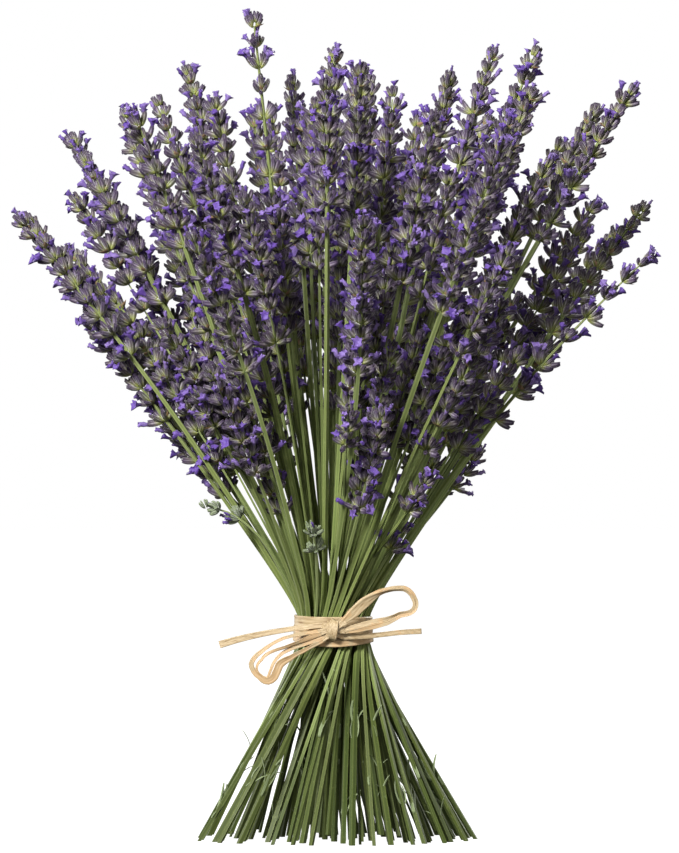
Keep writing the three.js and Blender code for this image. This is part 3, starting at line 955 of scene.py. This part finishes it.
def add_side_shoot(sprig, line, start, length, head, draw):
    """A thin shoot that leaves the stem at a distance from its foot, curves up beside it and
    carries a small head of its own."""
    even = np.linspace(0, line.length, LINE_STEPS)
    i = int(np.searchsorted(even, start))
    tangent = unit(line.points[i + 2] - line.points[i - 2])
    away = line.points[i] - np.array([TIE[0], TIE[1], line.points[i, 2]])
    away = unit(away - tangent * (away @ tangent))
    sideways = np.cross(tangent, away) * draw.uniform(-0.9, 0.9)
    outward = unit(away + sideways)
    points = [line.points[i]]
    first_lean = math.radians(draw.uniform(13, 23))
    for step in range(SHOOT_STEPS):
        lean = first_lean * (1 - 0.75 * step / SHOOT_STEPS)
        heading = tangent * math.cos(lean) + outward * math.sin(lean)
        points.append(points[-1] + heading * length / SHOOT_STEPS)
    shoot = Line(np.array(points), 1 - head / length)
    add_stem(sprig, shoot, SHOOT_STEM, SHOOT_NECK, 0.3)
    places = [head * share for share in np.arange(0, 0.92, SHOOT_WHORLS / head)]
    add_head(sprig, shoot, places, draw, size=0.82, flowers=0.16)


NECK_THINNING = 0.78


def make_sprig(name, line, seed, stem_radius, flowers=0.11, size=1.0, open_style=None, spaced=None,
               young=False, shoots=(), leaves=()):
    """A finished sprig along a line. flowers is the share of calyces in flower and spaced the shares
    of the head where whorls sit apart; shoots and leaves say where they leave the stem."""
    draw = np.random.default_rng(seed)
    sprig = Sprig(0.0 if young else draw.uniform(0.05, 1))
    add_stem(sprig, line, stem_radius, stem_radius * NECK_THINNING, draw.uniform(0, 1.5))
    head = line.length * (1 - line.neck)
    if open_style is None:
        open_style = draw.uniform() < 0.45
    places = [head * share for share in spaced] if spaced else whorl_places(head, draw, open_style)
    add_head(sprig, line, places, draw, size, flowers, 3 if spaced else None, young)
    for start, length, shoot_head in shoots:
        add_side_shoot(sprig, line, start, length, shoot_head, draw)
    if not young:
        for share in leaves:
            length = draw.choice([5.0, 6.5, 8.0, 11.0]) * draw.uniform(0.85, 1.15) * MM
            turn = draw.uniform(0, 3)
            add_leaf_pair(sprig, line, share, turn, length, math.radians(draw.uniform(8, 24)), draw)
    return sprig.finish(name)


# -------------------- the sprigs with a solid
# The thickest stems of the bunch, most of them in rings round its middle. Seven stand apart: two
# tall ones, two lone ones at the sides, two green and unopened, and a small one low on the right.


def out_at_tie(line):
    return np.linalg.norm(line.across_at(TIE_AT) - TIE[:2])


OUTER_RING = 0.8 * max(out_at_tie(line) for line in solid_lines.values())


def is_outer(line):
    return out_at_tie(line) > OUTER_RING


SPACED_WHORLS = (0.0, 0.17, 0.31, 0.46, 0.6, 0.72, 0.83, 0.93)
solid_stems = {}
for number, (name, line) in enumerate(solid_lines.items()):
    stem_radius = (1.12 + 0.1 * math.sin(number * 2.4)) * MM
    options = {}
    if name == "lone_sprig_right":
        options = {"spaced": SPACED_WHORLS, "size": 0.98, "flowers": 0.3}
        stem_radius = 0.9 * MM
    elif name == "tall_sprig":
        options = {"spaced": SPACED_WHORLS, "flowers": 0.14}
    elif name.startswith("young"):
        options = {"size": 0.72, "flowers": 0.0, "open_style": False, "young": True}
        stem_radius = 0.62 * MM
    elif name == "small_sprig_right":
        options = {"size": 0.8, "flowers": 0.5, "open_style": False}
        stem_radius = 0.75 * MM
    if name not in STANDOUTS:
        draw = np.random.default_rng(3000 + number)
        options["leaves"] = draw.uniform(0.03, 0.2, draw.integers(1, 3) + is_outer(line))
        if is_outer(line) and number % 2:
            start = TIE_AT + draw.uniform(42, 78) * MM
            length = draw.uniform(34, 60) * MM
            options["shoots"] = [(start, length, length * draw.uniform(0.3, 0.45))]
    solid_stems[name] = stem_radius
    piece = make_sprig("lavender_" + name, line, 100 + number, stem_radius, **options)
    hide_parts(name)

# -------------------- the sprigs between them
# Thinner stems fill the gaps between the thick ones at the tie. Each keeps its place between its
# three neighbours all the way up, and ends in a head of its own.

crown = {n: line for n, line in solid_lines.items() if n not in STANDOUTS}
crown_names = list(crown)
at_tie = [Vector(crown[n].across_at(TIE_AT)) for n in crown_names]
_, _, gaps, _, _, _ = delaunay_2d_cdt(at_tie, [], [], 0, 1e-9)
STEM_GAP_REACH = 5.6 * MM
FILL_STEM_RADIUS = 0.88 * MM
OUTSIDE_STEM_RADIUS = 0.78 * MM
THINNEST_STEM = 0.45 * MM
SHORT_CUT = 3 * MM
FINE_STEPS, HEIGHT_STEPS = 400, 40
HIGHEST_ABOVE_TIE = 0.26
GOLDEN = 0.618034


def line_between(names, weights, reach, head, foot, spread=1.0):
    """A line at a fixed share between others, ending at a distance from the tie. A spread over 1
    moves it out from the middle of the bundle."""
    heights = np.linspace(foot, TIE_AT + HIGHEST_ABOVE_TIE, FINE_STEPS)
    across = sum(w * crown[n].across_at(heights) for n, w in zip(names, weights))
    across = TIE[:2] + (across - TIE[:2]) * spread
    points = np.column_stack([across, heights])
    from_tie = np.linalg.norm(points - TIE, axis=1)
    points = points[(heights < TIE_AT) | (from_tie < reach)]
    points = points[np.linspace(0, len(points) - 1, HEIGHT_STEPS).astype(int)]
    line = Line(points)
    line.neck = 1 - head / line.length
    return line


def room_at_tie(line):
    """How thick a stem's radius can be before it presses into a solid sprig's stem at the tie."""
    place = line.across_at(TIE_AT)
    return min(
        np.linalg.norm(solid_lines[n].across_at(TIE_AT) - place) - radius for n, radius in solid_stems.items()
    )


fillers = []
for corners in gaps:
    spots = [at_tie[i] for i in corners]
    if max((spots[i] - spots[i - 1]).length for i in range(3)) < STEM_GAP_REACH:
        fillers.append([crown_names[i] for i in corners])

for number, names in enumerate(fillers):
    draw = np.random.default_rng(1000 + number)
    weights = np.array([1, 1, 1]) / 3 + draw.uniform(-0.05, 0.05, 3)
    weights /= weights.sum()
    tips = np.mean([np.linalg.norm(crown[n].points[-1] - TIE) for n in names])
    reach = tips * (0.58 + 0.42 * ((0.16 + number * GOLDEN) % 1))
    head = draw.uniform(48, 68) * MM
    line = line_between(names, weights, reach, head, draw.choice([0.0, 0.0, 0.0, SHORT_CUT]))
    stem_radius = min(FILL_STEM_RADIUS * draw.uniform(0.92, 1.12), room_at_tie(line))
    if stem_radius < THINNEST_STEM:
        continue
    piece = make_sprig(f"lavender_between_{number + 1:02d}", line, 1000 + number, stem_radius)

# -------------------- the short sprigs outside
# Short thin sprigs lie in the grooves round the outside of the bundle. Their heads hang lowest, in
# front of the others' stems.

middle = Vector(BAND_CENTRE.xy)
by_angle = sorted(
    (n for n in crown_names if is_outer(crown[n])),
    key=lambda n: math.atan2(*(Vector(crown[n].across_at(TIE_AT)) - middle)),
)
for number, name in enumerate(by_angle):
    draw = np.random.default_rng(2000 + number)
    names = [name, by_angle[(number + 1) % len(by_angle)]]
    reach = (110 + 90 * (number * GOLDEN % 1)) * MM
    line = line_between(names, (0.5, 0.5), reach, draw.uniform(40, 54) * MM, 0.0, spread=1.07)
    stem_radius = min(OUTSIDE_STEM_RADIUS * draw.uniform(0.95, 1.1), room_at_tie(line))
    if stem_radius < THINNEST_STEM:
        continue
    piece = make_sprig(f"lavender_outside_{number + 1:02d}", line, 2000 + number, stem_radius,
                       leaves=draw.uniform(0.05, 0.26, 1))

# -------------------- the floor and the light
# A plain floor that shows as white as its surround, a soft key light from the upper left in front,
# a weak fill from the right, and a light behind at each side.

FLOOR_HALF = 6.0
floor_mesh = bpy.data.meshes.new("floor")
floor_mesh.from_pydata(
    [(-FLOOR_HALF, -FLOOR_HALF, 0), (FLOOR_HALF, -FLOOR_HALF, 0), (FLOOR_HALF, FLOOR_HALF, 0),
     (-FLOOR_HALF, FLOOR_HALF, 0)], [], [(0, 1, 2, 3)],
)
floor = put_in_scene("floor", floor_mesh)
floor_shader = Shader("pale_floor")
floor_shader.finish((0.2, 0.2, 0.2, 1), 0.9, Specular_IOR_Level=0.0, Emission_Color=(1, 1, 1, 1),
                    Emission_Strength=1.0)
floor_mesh.materials.append(floor_shader.material)
floor.visible_diffuse = False
floor.visible_glossy = False

SURROUND_LIGHT = 0.13
world = bpy.data.worlds.new("surround")
bpy.context.scene.world = world
world.use_nodes = True
surround = world.node_tree.nodes["Background"]
surround.inputs["Color"].default_value = (1, 1, 1, 1)
rays = world.node_tree.nodes.new("ShaderNodeLightPath")
level = world.node_tree.nodes.new("ShaderNodeMapRange")
level.inputs["To Min"].default_value = SURROUND_LIGHT
level.inputs["To Max"].default_value = 1.0
world.node_tree.links.new(rays.outputs["Is Camera Ray"], level.inputs["Value"])
world.node_tree.links.new(level.outputs[0], surround.inputs["Strength"])


def soft_light(name, place, size, power):
    light = bpy.data.lights.new(name, "AREA")
    light.shape = "DISK"
    light.size = size
    light.energy = power
    lamp = put_in_scene(name, light)
    lamp.location = place
    lamp.rotation_euler = (Vector(place) - CAMERA_AIM).to_track_quat("Z", "Y").to_euler()


soft_light("key", (-0.7, -1.35, 1.0), 0.45, 54.0)
soft_light("fill", (1.4, -1.5, 0.5), 0.9, 8.0)
soft_light("back", (0.9, 1.5, 1.1), 0.8, 48.0)
soft_light("back_left", (-1.4, 1.2, 0.6), 0.9, 22.0)
